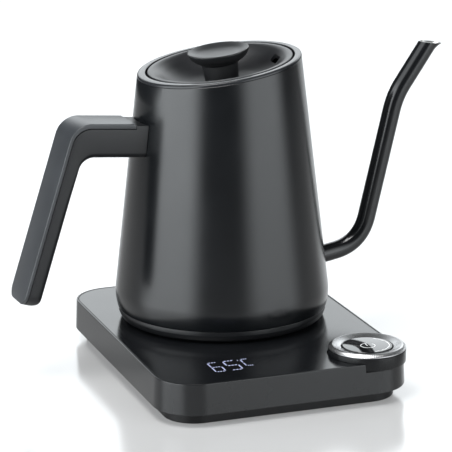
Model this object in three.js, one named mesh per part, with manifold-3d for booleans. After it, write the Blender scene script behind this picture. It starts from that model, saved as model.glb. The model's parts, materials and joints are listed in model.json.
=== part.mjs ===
// Electric gooseneck kettle on a rectangular base with a temperature knob.
// Millimetres, +Z up, X to the right along the front edge of the base, Y to the back.
import * as THREE from 'three';
import { mergeVertices } from 'three/addons/utils/BufferGeometryUtils.js';
import Module from 'manifold-3d';

const wasm = await Module();
wasm.setup();

// ---- Driving dimensions -------------------------------------------------------------------
const GAP = 0.3; // clearance between touching pieces
// Base: a rounded rectangle, measured from the kettle's axis
const BASE_WIDTH = 150;
const BASE_FRONT = -121;
const BASE_BACK = 78;
const BASE_CORNER = 24;
const BASE_DRAFT = 0.7; // the walls lean out by this much at their lower edge
const HOUSING_HEIGHT = 18.3;
const WALL = 2.4;
const TRAY_INSET = 5.7;
const TRAY_BOTTOM = 0.5;
const PLATE = 25.5; // height of the base's top face
const PANEL_INSET = 1.2;
const PANEL_THICK = 2.5;
const HOUSING_BOTTOM = PLATE - HOUSING_HEIGHT;
const LEDGE_WIDTH = 9; // of the shelf that carries the panel
// Control knob in the front right corner
const KNOB_X = 53;
const KNOB_Y = -100.2;
const KNOB_RADIUS = 22.4;
const KNOB_TOP = 5.3; // above the base's top face
const NOTCH_DEPTH = 4.9;
const BUTTON_RADIUS = 14.4;
const BUTTON_STROKE = 0.8;
const SWITCH_TOP = -15.7; // top of the switch under the button, from the base's top face
// Kettle body: a steel cone with a slanted top
const YAW = THREE.MathUtils.degToRad(3); // how the kettle stands turned on its base
const FOOT_RADIUS = 65.34; // outer radius that the cone would have at the seam
const SEAM_HEIGHT = 8.05;
const SLOPE = 0.1154; // radius lost per millimetre of height
const SHELL_WALL = 0.9;
const RIM_HEIGHT = 154.86; // height of the rim's top plane at the axis
const RIM_TILT = 0.1307; // radians, the rim is higher on the spout's side
const RIM_SHIFT = -0.4; // the rim's centre along the slanted plane
const RIM_RADIUS = 48.9;
const MOUTH_RADIUS = 44.4;
// Handle: a bar out of the body, a bend and a long leaning leg
const HANDLE_WIDTH = 26.8;
const BAR_START = new THREE.Vector2(-58.1, 125.4);
const BEND = new THREE.Vector2(-95.46, 128.96);
const LEG_END_Z = 24.05; // height of the leg's outer edge at its end
const LEG_END_RADIUS = 7; // of the end's corners, across the handle's width
const LEG_LEAN = 0.3276; // sideways run of the leg per millimetre of height
const BAR_THICK = 20.2;
const LEG_THICK = 10.8;
const BEND_RADIUS = 13.5;
const INNER_BEND_RADIUS = 9.5;
const COVER_ON_BAR = 2.9;
const COVER_ON_LEG = 2;
// Spout: a bent tube of constant diameter
const SPOUT_RADIUS = 5.5;
const SPOUT_BORE = 4.7;
const SPOUT_ROOT_Z = 29.2; // height of its centre line at the body's surface
const SPOUT_SLOPE = 0.16; // rise per millimetre on the way out of the body

// ---- Materials ----------------------------------------------------------------------------
const BLACK_COAT = ['#2b2d30', 0.42, 0.3];
const BLACK_PLASTIC = ['#26282a', 0.5, 0];
const DARK_PLASTIC = ['#1a1b1d', 0.55, 0];
const GLOSS_BLACK = ['#0d0e10', 0.12, 0];
const GREY_PLASTIC = ['#6f7275', 0.5, 0];
const STEEL = ['#b9bcbf', 0.3, 1];
const ALUMINIUM = ['#cfd1d3', 0.3, 1];
const BRASS = ['#b58b45', 0.35, 1];
const RUBBER = ['#18191a', 0.85, 0];
const SILICONE = ['#9a9c9e', 0.7, 0];
const BOARD = ['#20452f', 0.6, 0];
const WHITE_PLASTIC = ['#e4e3df', 0.5, 0];

// ---- Helpers ------------------------------------------------------------------------------
function solid(geometry) {
  const bare = geometry.index ? geometry.toNonIndexed() : geometry.clone();
  bare.deleteAttribute('normal');
  bare.deleteAttribute('uv');
  const merged = mergeVertices(bare, 1e-4);
  const corners = merged.index.array;
  const kept = [];
  for (let i = 0; i < corners.length; i += 3) {
    const [a, b, c] = corners.slice(i, i + 3);
    if (a !== b && b !== c && c !== a) {
      kept.push(a, b, c);
    }
  }
  const vertProperties = Float32Array.from(merged.attributes.position.array);
  return new wasm.Manifold(new wasm.Mesh({ numProp: 3, vertProperties, triVerts: Uint32Array.from(kept) }));
}

function piece(name, body, [color, roughness, metalness]) {
  const { vertProperties, triVerts } = body.getMesh();
  const geometry = new THREE.BufferGeometry();
  geometry.setAttribute('position', new THREE.BufferAttribute(vertProperties, 3));
  geometry.setIndex(new THREE.BufferAttribute(triVerts, 1));
  geometry.computeVertexNormals();
  const mesh = new THREE.Mesh(geometry, new THREE.MeshStandardMaterial({ color, roughness, metalness }));
  mesh.name = name;
  return mesh;
}

// Turns a closed outline of [radius, height] points about Z, whichever way round it was written.
function turnedGeometry(profile, segments = 28) {
  let area = 0;
  profile.forEach(([r, z], i) => {
    const [rNext, zNext] = profile[(i + 1) % profile.length];
    area += r * zNext - rNext * z;
  });
  const ordered = area > 0 ? profile : [...profile].reverse();
  const onAxis = ordered.findIndex(([r], i) => r === 0 && ordered.at(i - 1)[0] === 0);
  const shifted = onAxis > 0 ? [...ordered.slice(onAxis), ...ordered.slice(0, onAxis)] : ordered;
  const points = shifted.map(([r, z]) => new THREE.Vector2(r, z));
  if (onAxis < 0) {
    points.push(points[0].clone());
  }
  return new THREE.LatheGeometry(points, segments).rotateX(Math.PI / 2);
}

function turned(profile, segments = 28) {
  return solid(turnedGeometry(profile, segments));
}

function disc(radius, bottom, top, segments = 20) {
  return turned([[0, bottom], [radius, bottom], [radius, top], [0, top]], segments);
}

function ring(inner, outer, bottom, top, segments = 28) {
  return turned([[inner, bottom], [outer, bottom], [outer, top], [inner, top]], segments);
}

function discAt(x, y, radius, bottom, top, segments = 16) {
  const geometry = turnedGeometry([[0, bottom], [radius, bottom], [radius, top], [0, top]], segments);
  return solid(geometry.translate(x, y, 0));
}

function block(width, depth, height, x, y, bottom) {
  return solid(new THREE.BoxGeometry(width, depth, height).translate(x, y, bottom + height / 2));
}

// Outline through corner points, each rounded with its own radius (0 keeps it sharp).
function roundedShape(corners, radii, Kind = THREE.Shape) {
  const shape = new Kind();
  corners.forEach((corner, i) => {
    const before = corners[(i + corners.length - 1) % corners.length];
    const after = corners[(i + 1) % corners.length];
    const toBefore = before.clone().sub(corner).normalize();
    const toAfter = after.clone().sub(corner).normalize();
    const half = Math.acos(THREE.MathUtils.clamp(toBefore.dot(toAfter), -1, 1)) / 2;
    const run = radii[i] / Math.tan(half);
    const start = corner.clone().addScaledVector(toBefore, run);
    if (i === 0) {
      shape.moveTo(start.x, start.y);
    } else {
      shape.lineTo(start.x, start.y);
    }
    if (radii[i] > 0) {
      const middle = toBefore.clone().add(toAfter).normalize();
      const centre = corner.clone().addScaledVector(middle, radii[i] / Math.sin(half));
      const end = corner.clone().addScaledVector(toAfter, run);
      const startAngle = Math.atan2(start.y - centre.y, start.x - centre.x);
      const endAngle = Math.atan2(end.y - centre.y, end.x - centre.x);
      const clockwise = toBefore.cross(toAfter) > 0;
      shape.absarc(centre.x, centre.y, radii[i], startAngle, endAngle, clockwise);
    }
  });
  shape.closePath();
  return shape;
}

// Prism over the base's outline, moved inwards by inset; grow spreads its lower end.
function basePrism(inset, bottom, top, grow = 0) {
  const halfWidth = BASE_WIDTH / 2 - inset;
  const front = BASE_FRONT + inset;
  const back = BASE_BACK - inset;
  const corners = [[halfWidth, front], [halfWidth, back], [-halfWidth, back], [-halfWidth, front]];
  const points = corners.map(([x, y]) => new THREE.Vector2(x, y));
  const shape = roundedShape(points, points.map(() => BASE_CORNER - inset));
  const settings = { depth: top - bottom, bevelEnabled: false, curveSegments: 5 };
  const geometry = new THREE.ExtrudeGeometry(shape, settings).translate(0, 0, bottom);
  if (grow > 0) {
    const middle = (front + back) / 2;
    const depth = back - front;
    const position = geometry.attributes.position;
    for (let i = 0; i < position.count; i += 1) {
      if (position.getZ(i) < (bottom + top) / 2) {
        position.setX(i, position.getX(i) * (1 + grow / halfWidth));
        position.setY(i, middle + (position.getY(i) - middle) * (1 + (2 * grow) / depth));
      }
    }
  }
  return solid(geometry);
}

function combine(bodies) {
  return bodies.reduce((sum, body) => sum.add(body));
}

// Screw that points up: head at the bottom, shank above it.
function screw(head, shank, bottom, headTop, top) {
  const outline = [[0, bottom], [head, bottom], [head, headTop], [shank, headTop], [shank, top], [0, top]];
  return turned(outline, 10).subtract(block(head * 1.3, 0.7, 0.6, 0, 0, bottom - 0.1));
}

// ---- Base ---------------------------------------------------------------------------------
const SCREW_POSTS = [[60.5, 63.5], [-60.5, 63.5], [-60.5, -106.5], [63.5, -66]];
const FEET = [[52, 52], [-52, 52], [-52, -94], [40, -104]];
const BOSS_BOTTOM = 9.9;
const LEDGE_TOP = PLATE - PANEL_THICK - 0.4;
const LEDGE_BOTTOM = LEDGE_TOP - 2;
const TRAY_FLOOR = 3;
const TRAY_TOP = 9.4;
const BOARD_BOTTOM = 5;
const BOARD_POSTS = [[-32, 12], [32, 12], [-32, 40], [32, 40]];
const GLAND_X = 32;
const GLAND_Z = 13.6;
const GLAND_RADIUS = 5;
const CORD_RADIUS = 3.3;
const CONNECTOR_NECK = 13.6;

function knobPocket(radius, bottom) {
  return discAt(KNOB_X, KNOB_Y, radius, bottom, PLATE + 5, 36);
}

// A round bar along Y through the back wall.
function glandBar(radius, length, y) {
  return solid(new THREE.CylinderGeometry(radius, radius, length, 24).translate(GLAND_X, y, GLAND_Z));
}

function cordGland() {
  const sleeve = glandBar(GLAND_RADIUS, 6.45, BASE_BACK - 2.075);
  const flange = glandBar(6.6, 2, BASE_BACK - 4.3);
  return sleeve.add(flange).subtract(glandBar(CORD_RADIUS, 20, BASE_BACK));
}

function baseHousing() {
  const chamfer = 0.4;
  let body = basePrism(0, HOUSING_BOTTOM, PLATE - chamfer, BASE_DRAFT);
  body = body.add(basePrism(chamfer, PLATE - chamfer, PLATE));
  body = body.subtract(basePrism(PANEL_INSET, LEDGE_TOP, PLATE + 1));
  body = body.subtract(basePrism(LEDGE_WIDTH, HOUSING_BOTTOM - 1, PLATE));
  body = body.subtract(basePrism(WALL, HOUSING_BOTTOM - 1, LEDGE_BOTTOM));
  const bosses = SCREW_POSTS.map(([x, y]) => discAt(x, y, 3.5, BOSS_BOTTOM, LEDGE_BOTTOM + 1, 12));
  body = body.add(combine(bosses).intersect(basePrism(WALL - 0.5, 0, PLATE)));
  const bores = SCREW_POSTS.map(([x, y]) => discAt(x, y, 1.8, BOSS_BOTTOM - 1, 17.5, 8));
  body = body.subtract(combine(bores));
  body = body.subtract(glandBar(GLAND_RADIUS + GAP, 12, BASE_BACK));
  return body.subtract(knobPocket(KNOB_RADIUS + 0.5, PLATE - NOTCH_DEPTH));
}

function topPanel() {
  const bottom = LEDGE_TOP + GAP;
  const body = basePrism(PANEL_INSET + GAP, bottom, bottom + PANEL_THICK);
  return body.subtract(knobPocket(KNOB_RADIUS + 0.8, bottom - 1)).subtract(disc(CONNECTOR_NECK + 0.4, 0, 40));
}

function baseTray() {
  const inside = basePrism(TRAY_INSET + 2, TRAY_FLOOR, PLATE);
  let body = basePrism(TRAY_INSET, TRAY_BOTTOM, TRAY_TOP).subtract(inside);
  const posts = SCREW_POSTS.map(([x, y]) => discAt(x, y, 3.5, TRAY_BOTTOM, TRAY_TOP, 12));
  body = body.add(combine(posts).intersect(basePrism(TRAY_INSET - 3, 0, PLATE)));
  const standoffs = BOARD_POSTS.map(([x, y]) => {
    const pin = discAt(x, y, 1.4, TRAY_BOTTOM + 1, BOARD_BOTTOM + 2, 8);
    return pin.add(discAt(x, y, 3, TRAY_BOTTOM + 1, BOARD_BOTTOM - GAP, 8));
  });
  body = body.add(combine(standoffs));
  const bores = SCREW_POSTS.map(([x, y]) => {
    const recess = discAt(x, y, 3.1, 0, 2.4, 10);
    return discAt(x, y, 1.9, 0, PLATE, 8).add(recess);
  });
  const pockets = FEET.map(([x, y]) => discAt(x, y, 6.4, 0, 2, 14));
  return body.subtract(combine([...bores, ...pockets]));
}

// The raised middle that the kettle is set down on, with the hole for the centre contact.
function connector() {
  const outline = [
    [3.5, 17.5], [CONNECTOR_NECK, 17.5], [CONNECTOR_NECK, PLATE + 0.2],
    [21.5, PLATE + 0.2], [21.5, PLATE + 1.6], [20.7, PLATE + 2.4],
    [8.6, PLATE + 2.4], [8.6, PLATE + 7], [8, PLATE + 7.6], [3.5, PLATE + 7.6],
  ];
  return turned(outline, 24);
}

function knobSeat() {
  const top = PLATE - NOTCH_DEPTH - GAP;
  const plate = discAt(KNOB_X, KNOB_Y, KNOB_RADIUS, top - 3, top, 28);
  return plate.intersect(basePrism(WALL + GAP, 0, PLATE)).subtract(discAt(KNOB_X, KNOB_Y, 4.6, 0, PLATE));
}

const base = new THREE.Group();
base.add(piece('base_housing', baseHousing(), BLACK_COAT));
base.add(piece('top_panel', topPanel(), BLACK_COAT));
base.add(piece('base_tray', baseTray(), DARK_PLASTIC));
base.add(piece('connector', connector(), DARK_PLASTIC));
base.add(piece('knob_seat', knobSeat(), DARK_PLASTIC));
FEET.forEach(([x, y], i) => {
  const foot = piece(`foot_${i + 1}`, disc(6, 0, 1.7, 14), RUBBER);
  foot.position.set(x, y, 0);
  base.add(foot);
});
SCREW_POSTS.forEach(([x, y], i) => {
  const trayScrew = piece(`tray_screw_${i + 1}`, screw(2.8, 1.5, 1.2, 2.1, 16), STEEL);
  trayScrew.position.set(x, y, 0);
  base.add(trayScrew);
});

// Electronics under the panel
const BOARD_THICK = 1.6;
const ON_BOARD = BOARD_BOTTOM + BOARD_THICK + GAP;
const boardHoles = combine(BOARD_POSTS.map(([x, y]) => discAt(x, y, 1.7, 0, PLATE, 8)));
base.add(piece('main_board', block(72, 62, BOARD_THICK, 0, 37, BOARD_BOTTOM).subtract(boardHoles), BOARD));
base.add(piece('relay', block(19, 15, 10, -18, 52, ON_BOARD), DARK_PLASTIC));
base.add(piece('transformer', block(22, 18, 10, 6, 54, ON_BOARD), GREY_PLASTIC));
const capacitor = piece('capacitor', disc(5, 0, 9.5, 20), ALUMINIUM);
capacitor.position.set(-2, 33, ON_BOARD);
base.add(capacitor);
base.add(piece('mains_terminal', block(15, 9, 9, 27, 62, ON_BOARD), GREY_PLASTIC));
base.add(piece('cord_gland', cordGland(), RUBBER));
const DISPLAY_X = -27;
const DISPLAY_Y = -96.5;
base.add(piece('display_board', block(56, 30, 1.6, DISPLAY_X, DISPLAY_Y, 17), BOARD));
base.add(piece('led_matrix', block(34, 21, 3.6, DISPLAY_X, DISPLAY_Y, 18.9), WHITE_PLASTIC));

// Parts below the knob, on the knob's axis
const knobStand = new THREE.Group();
knobStand.position.set(KNOB_X, KNOB_Y, PLATE);
knobStand.add(piece('knob_board', block(26, 22, 1.6, -4, 4, -18.9), BOARD));
const encoderBore = disc(4.3, -20, 0, 24);
knobStand.add(piece('encoder_body', block(14, 14, 7.2, 0, 0, -17).subtract(encoderBore), GREY_PLASTIC));
knobStand.add(piece('tact_switch', disc(3.4, SWITCH_TOP - 1.3, SWITCH_TOP, 16), DARK_PLASTIC));
base.add(knobStand);

// ---- Control knob and its push button -----------------------------------------------------
const SKIRT_TOP = 3;
const SKIRT_FLOOR = 0.6;
const knob = new THREE.Group();
knob.position.set(KNOB_X, KNOB_Y, PLATE);
const skirtOutline = [
  [3.8, -0.6], [20.4, -0.6], [20.4, -4.4], [22.1, -4.4], [KNOB_RADIUS, -4.1], [KNOB_RADIUS, SKIRT_TOP],
  [20.4, SKIRT_TOP], [20.4, SKIRT_FLOOR], [3.8, SKIRT_FLOOR],
];
const ringOutline = [
  [22.3, SKIRT_TOP + GAP], [22.3, 3.7], [20.6, KNOB_TOP - 0.1], [20.2, KNOB_TOP], [19.8, KNOB_TOP - 0.1],
  [15.2, 3.9], [14.8, SKIRT_TOP + GAP],
];
knob.add(piece('knob_skirt', turned(skirtOutline, 36), BLACK_PLASTIC));
knob.add(piece('knob_ring', turned(ringOutline, 36), ALUMINIUM));
knob.add(piece('encoder_shaft', ring(2.6, 3.5, -12, -0.3, 24), BRASS));

const button = new THREE.Group();
button.position.set(KNOB_X, KNOB_Y, PLATE);
const PIN_END = SWITCH_TOP + BUTTON_STROKE + GAP;
const BUTTON_UNDERSIDE = SKIRT_FLOOR + BUTTON_STROKE + 0.2;
const buttonOutline = [
  [0, PIN_END], [2.2, PIN_END], [2.2, BUTTON_UNDERSIDE], [BUTTON_RADIUS - 0.4, BUTTON_UNDERSIDE],
  [BUTTON_RADIUS, 2], [BUTTON_RADIUS, 4.1], [BUTTON_RADIUS - 0.4, 4.4], [0, 4.4],
];
button.add(piece('power_button', turned(buttonOutline, 28), GLOSS_BLACK));

// ---- Kettle body --------------------------------------------------------------------------
const kettle = new THREE.Group();
kettle.position.set(0, 0, PLATE);
kettle.rotation.z = YAW;

function coneRadius(z) {
  return FOOT_RADIUS - SLOPE * (z - SEAM_HEIGHT);
}

// The slanted frame of the rim: its X lies along the slope, its Z is square to the rim's plane.
const RIM_ORIGIN = new THREE.Vector3(
  RIM_SHIFT * Math.cos(RIM_TILT),
  0,
  RIM_HEIGHT + RIM_SHIFT * Math.sin(RIM_TILT),
);
const rimFrame = new THREE.Matrix4().makeRotationY(-RIM_TILT).setPosition(RIM_ORIGIN);

// Everything above the rim plane moved along its normal by offset.
function aboveRim(offset) {
  const box = new THREE.BoxGeometry(300, 300, 100).translate(0, 0, 50 + offset);
  return solid(box.applyMatrix4(rimFrame));
}

const CONE_TOP = 172;
const SHOULDER = SEAM_HEIGHT + 5.6; // where the cone starts to curve in towards the seam

// The cone's outside, shifted outwards by grow.
function coneSolid(grow) {
  const outline = [
    [0, SEAM_HEIGHT - 2 - grow], [62.6 + grow, SEAM_HEIGHT - 2 - grow], [62.6 + grow, SEAM_HEIGHT],
    [64.1 + grow, SEAM_HEIGHT + 2.4], [coneRadius(SHOULDER) + grow, SHOULDER],
    [coneRadius(CONE_TOP) + grow, CONE_TOP], [0, CONE_TOP],
  ];
  return turned(outline, 48);
}

// Height of the spout's centre line where it leaves the body
function spoutStartZ(x) {
  return SPOUT_ROOT_Z + SPOUT_SLOPE * (x - coneRadius(SPOUT_ROOT_Z));
}

// Spout centre line: out of the body, a bend upwards, the long rise and the pouring end.
function spoutPath(startX, endZ) {
  const low = new THREE.Vector3(startX, 0, spoutStartZ(startX));
  const elbow = new THREE.Vector3(92.2, 0, 33.9);
  const upper = new THREE.Vector3(114.9, 0, 124.5);
  const rise = new THREE.Vector3(14.5, 0, 20.4).normalize();
  const end = upper.clone().addScaledVector(rise, (endZ - upper.z) / rise.z);
  const path = new THREE.CurvePath();
  const towards = (from, to, distance) => {
    const direction = to.clone().sub(from).normalize();
    return from.clone().addScaledVector(direction, distance);
  };
  const bendIn = towards(elbow, low, 17.5);
  const bendOut = towards(elbow, upper, 17.5);
  const crookIn = towards(upper, elbow, 9);
  const crookOut = towards(upper, end, 9);
  path.add(new THREE.LineCurve3(low, bendIn));
  path.add(new THREE.QuadraticBezierCurve3(bendIn, elbow, bendOut));
  path.add(new THREE.LineCurve3(bendOut, crookIn));
  path.add(new THREE.QuadraticBezierCurve3(crookIn, upper, crookOut));
  path.add(new THREE.LineCurve3(crookOut, end));
  return path;
}

function spoutBar(radius, startX, endZ, sides = 10) {
  const circle = new THREE.Shape().absarc(0, 0, radius, 0, 2 * Math.PI);
  const section = new THREE.Shape(circle.getSpacedPoints(sides).slice(0, sides));
  return solid(new THREE.ExtrudeGeometry(section, { steps: 22, extrudePath: spoutPath(startX, endZ) }));
}

function spoutTube() {
  let body = spoutBar(SPOUT_RADIUS, 58.5, 170);
  const lipCorners = [[139.5, 150], [141.4, 151.6], [146.4, 154.2], [138, 156.2]];
  const lip = new THREE.Shape(lipCorners.map(([x, z]) => new THREE.Vector2(x, z)));
  const lipPlate = new THREE.ExtrudeGeometry(lip, { depth: 6, bevelEnabled: false }).translate(0, 0, -3);
  body = body.add(solid(lipPlate.rotateX(Math.PI / 2)));
  const topCut = new THREE.BoxGeometry(80, 40, 40).translate(0, 0, 20);
  topCut.rotateY(Math.atan2(2.1, 15.8)).translate(138.7, 0, 155.35);
  return body.subtract(solid(topCut)).subtract(spoutBar(SPOUT_BORE, 50, 175));
}

// Flat nut on the spout's inner end, inside the shell
function spoutNut() {
  const nut = new THREE.CylinderGeometry(7.6, 7.6, 1.6, 24).rotateZ(Math.PI / 2);
  nut.rotateY(-Math.atan(SPOUT_SLOPE)).translate(60.2, 0, spoutStartZ(60.2));
  return solid(nut).subtract(spoutBar(SPOUT_RADIUS + GAP, 50, 70));
}

function kettleShell() {
  const inner = [
    [60, SEAM_HEIGHT + SHELL_WALL], [61.9, SEAM_HEIGHT + SHELL_WALL], [63.2, SEAM_HEIGHT + 2.8],
    [coneRadius(SHOULDER) - SHELL_WALL, SHOULDER], [coneRadius(CONE_TOP) - SHELL_WALL, CONE_TOP],
  ];
  const outer = [
    [coneRadius(CONE_TOP), CONE_TOP], [coneRadius(SHOULDER), SHOULDER], [64.1, SEAM_HEIGHT + 2.4],
    [62.6, SEAM_HEIGHT], [60, SEAM_HEIGHT],
  ];
  const spoutHole = spoutBar(SPOUT_RADIUS + GAP, 50, 60);
  return turned([...inner, ...outer], 48).subtract(aboveRim(-1.9)).subtract(spoutHole);
}

const LEG_UPWARDS = new THREE.Vector2(LEG_LEAN, 1).normalize();
const LEG_INWARDS = new THREE.Vector2(LEG_UPWARDS.y, -LEG_UPWARDS.x);

// Outer edge of the leg's end, in X and Z
function legEnd() {
  return new THREE.Vector2(BEND.x + LEG_LEAN * (LEG_END_Z - BEND.y), LEG_END_Z);
}

// A line that lies below the handle's outer line, along the bar, the bend and the leg.
function handleLine(depthOnBar, depthOnLeg, startX) {
  const slope = (BEND.y - BAR_START.y) / (BEND.x - BAR_START.x);
  const barDrop = depthOnBar * Math.hypot(1, slope);
  const legShift = depthOnLeg * Math.hypot(1, LEG_LEAN);
  const barAt = (x) => BAR_START.y + slope * (x - BAR_START.x) - barDrop;
  const legAt = (z) => BEND.x + LEG_LEAN * (z - BEND.y) + legShift;
  const cornerX = (legAt(0) + LEG_LEAN * barAt(0)) / (1 - LEG_LEAN * slope);
  const corner = new THREE.Vector2(cornerX, barAt(cornerX));
  const end = legEnd().addScaledVector(LEG_INWARDS, depthOnLeg);
  return { start: new THREE.Vector2(startX, barAt(startX)), corner, end };
}

function handleOutline(outer, outerRadius, endRadius) {
  const inner = handleLine(BAR_THICK, LEG_THICK, INTO_BODY);
  const corners = [outer.start, outer.corner, outer.end, inner.end, inner.corner, inner.start];
  return roundedShape(corners, [0, outerRadius, endRadius, 4.5, INNER_BEND_RADIUS, 0]);
}

function acrossHandle(shape, width, bevel = 0) {
  const rounded = bevel > 0;
  const geometry = new THREE.ExtrudeGeometry(shape, {
    depth: width - 2 * bevel,
    curveSegments: 6,
    bevelEnabled: rounded,
    bevelSize: bevel,
    bevelThickness: bevel,
    bevelOffset: -bevel,
    bevelSegments: bevel > 1 ? 3 : 1,
  });
  return solid(geometry.rotateX(Math.PI / 2).translate(0, width / 2 - bevel, 0));
}

// Everything above the leg's end, whose corners are rounded across the handle's width
function aboveLegEnd() {
  const half = HANDLE_WIDTH / 2 + 0.02;
  const corners = [[-half, 0], [half, 0], [half, 200], [-half, 200]];
  const points = corners.map(([x, y]) => new THREE.Vector2(x, y));
  const shape = roundedShape(points, [LEG_END_RADIUS, LEG_END_RADIUS, 0, 0]);
  const settings = { depth: 130, bevelEnabled: false, curveSegments: 5 };
  const geometry = new THREE.ExtrudeGeometry(shape, settings);
  const upwards = new THREE.Vector3(LEG_UPWARDS.x, 0, LEG_UPWARDS.y);
  const inwards = new THREE.Vector3(LEG_INWARDS.x, 0, LEG_INWARDS.y);
  const place = new THREE.Matrix4().makeBasis(new THREE.Vector3(0, 1, 0), upwards, inwards);
  const { x, y } = legEnd().addScaledVector(LEG_INWARDS, -30);
  return solid(geometry.applyMatrix4(place.setPosition(x, 0, y)));
}

const INTO_BODY = -40;
const COVER_END = -58.1;
const PAD_THICK = 1.3;

// The region outside the cover's lower face, from the cover's inner end outwards.
function coverZone(margin) {
  const seam = handleLine(COVER_ON_BAR + margin, COVER_ON_LEG + margin, COVER_END + margin);
  const corners = [
    seam.start, seam.corner, new THREE.Vector2(seam.end.x - 6, seam.end.y - 18),
    new THREE.Vector2(-175, 0), new THREE.Vector2(-175, 160), new THREE.Vector2(COVER_END + margin, 160),
  ];
  const shape = roundedShape(corners, [0, BEND_RADIUS - 2, 0, 0, 0, 0]);
  return acrossHandle(shape, HANDLE_WIDTH + 10);
}

function bracketPad(margin) {
  const shape = new THREE.Shape();
  shape.moveTo(-9 - margin, 107 - margin);
  shape.lineTo(9 + margin, 107 - margin);
  shape.lineTo(9 + margin, 122 + margin);
  shape.lineTo(-9 - margin, 122 + margin);
  const slab = new THREE.ExtrudeGeometry(shape, { depth: 30, bevelEnabled: false });
  slab.rotateX(Math.PI / 2).rotateZ(-Math.PI / 2).translate(-70, 0, 0);
  const slabBody = solid(slab);
  const tongue = block(22 + 2 * margin, 10 + 2 * margin, 6 + 2 * margin, -65, 0, 112 - margin);
  return slabBody.subtract(solid(new THREE.BoxGeometry(200, 200, 300).translate(200, 0, 0)))
    .intersect(coneSolid(GAP + PAD_THICK + margin)).add(tongue).subtract(coneSolid(GAP));
}

const HANDLE_SCREWS = [-62, -70];

function handleCore() {
  const full = handleOutline(handleLine(-5, -5, INTO_BODY), BEND_RADIUS + 5, 4.5);
  let body = acrossHandle(full, HANDLE_WIDTH, 3.6).intersect(aboveLegEnd()).subtract(coverZone(0.15));
  const overTop = handleLine(0.9, 0, INTO_BODY);
  const topCut = roundedShape(
    [overTop.start, overTop.corner, new THREE.Vector2(-120, 200), new THREE.Vector2(INTO_BODY, 200)],
    [0, 0, 0, 0],
  );
  body = body.subtract(acrossHandle(topCut, HANDLE_WIDTH + 10));
  body = body.subtract(coneSolid(GAP)).subtract(bracketPad(GAP));
  const holes = HANDLE_SCREWS.map((x) => {
    const headHole = discAt(x, 0, 3.2, 100, 108.4, 10);
    return discAt(x, 0, 1.8, 104, 119, 8).add(headHole);
  });
  return body.subtract(combine(holes));
}

function handleCover() {
  const full = handleOutline(handleLine(0, 0, INTO_BODY), BEND_RADIUS, 0.8);
  return acrossHandle(full, HANDLE_WIDTH, 0.4).intersect(aboveLegEnd()).intersect(coverZone(-0.15));
}

function handleBracket() {
  const holes = HANDLE_SCREWS.map((x) => discAt(x, 0, 1.8, 100, 130, 8));
  return bracketPad(0).subtract(combine(holes));
}

function rimCollar() {
  const outline = [
    [MOUTH_RADIUS, -11.5], [46.2, -11.5], [46.2, -1.6], [48.3, -1.6], [RIM_RADIUS, -1],
    [48.7, -0.3], [48.1, 0], [45, 0], [MOUTH_RADIUS, -0.5],
  ];
  return turned(outline, 40);
}

function heaterPlate() {
  const plate = [
    [0, 16], [61, 16], [62.2, 17], [62.2, 20.5], [61.2, 20.5], [61.2, 18], [60.4, 17.2], [0, 17.2],
  ];
  const studs = studPlaces.map(([x, y]) => discAt(x, y, 3, 7.4, 16.4, 10));
  const bores = studPlaces.map(([x, y]) => discAt(x, y, 1.75, 6, 15, 8));
  return turned(plate, 32).add(combine(studs)).subtract(combine(bores));
}

function baseCup() {
  const outline = [
    [24, 0.4], [58.2, 0.4], [60.6, 2.2], [61.9, 4.8], [62.4, SEAM_HEIGHT - GAP], [60.2, SEAM_HEIGHT - GAP],
    [59.6, 5.4], [58, 3.4], [56.4, 2.6], [26.2, 2.6], [26.2, 7.2], [14, 7.2], [14, 5.2], [24, 5.2],
  ];
  const posts = studPlaces.map(([x, y]) => discAt(x, y, 3.6, 0.4, 7, 10));
  const bores = studPlaces.map(([x, y]) => discAt(x, y, 1.75, 0, 8, 8).add(discAt(x, y, 3.2, 0, 2.4, 10)));
  return turned(outline, 36).add(combine(posts)).subtract(combine(bores));
}

function kettleSocket() {
  const outline = [
    [9, 3.6], [13.6, 3.6], [13.6, 7.5], [19.5, 7.5], [19.5, 8.8], [13.6, 8.8], [13.6, 11], [0, 11], [0, 9.9],
    [3.7, 9.9], [3.7, 8.3], [9, 8.3],
  ];
  return turned(outline, 20);
}

const studPlaces = [90, 210, 330].map((degrees) => {
  const angle = THREE.MathUtils.degToRad(degrees);
  return [50 * Math.cos(angle), 50 * Math.sin(angle)];
});

function heatingElement() {
  const radius = 3.7;
  const outline = Array.from({ length: 8 }, (_, i) => {
    const angle = (i / 8) * 2 * Math.PI;
    return [38 + radius * Math.cos(angle), 11.9 + radius * Math.sin(angle)];
  });
  return turned(outline, 24);
}

kettle.add(piece('kettle_shell', kettleShell(), BLACK_COAT));
kettle.add(piece('clamp_ring', ring(59.4, 61.4, 9.3, 13), STEEL));
kettle.add(piece('tank_seal', ring(59.4, 61.9, 13.3, 15.7), SILICONE));
kettle.add(piece('heater_plate', heaterPlate(), STEEL));
kettle.add(piece('heating_element', heatingElement(), ALUMINIUM));
kettle.add(piece('base_cup', baseCup(), BLACK_PLASTIC));
kettle.add(piece('kettle_socket', kettleSocket(), DARK_PLASTIC));
kettle.add(piece('temperature_sensor', disc(6, 11.3, 15.7, 20), STEEL));
[-1, 1].forEach((side, i) => {
  kettle.add(piece(`thermal_cutout_${i + 1}`, block(14, 9, 5, 0, side * 22, 10.4), GREY_PLASTIC));
});
studPlaces.forEach(([x, y], i) => {
  const cupScrew = piece(`cup_screw_${i + 1}`, screw(2.8, 1.4, 0.7, 2, 14), STEEL);
  cupScrew.position.set(x, y, 0);
  kettle.add(cupScrew);
});
kettle.add(piece('spout_tube', spoutTube(), BLACK_COAT));
kettle.add(piece('spout_nut', spoutNut(), STEEL));
kettle.add(piece('handle_bracket', handleBracket(), STEEL));
kettle.add(piece('handle_core', handleCore(), DARK_PLASTIC));
kettle.add(piece('handle_cover', handleCover(), BLACK_PLASTIC));
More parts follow.
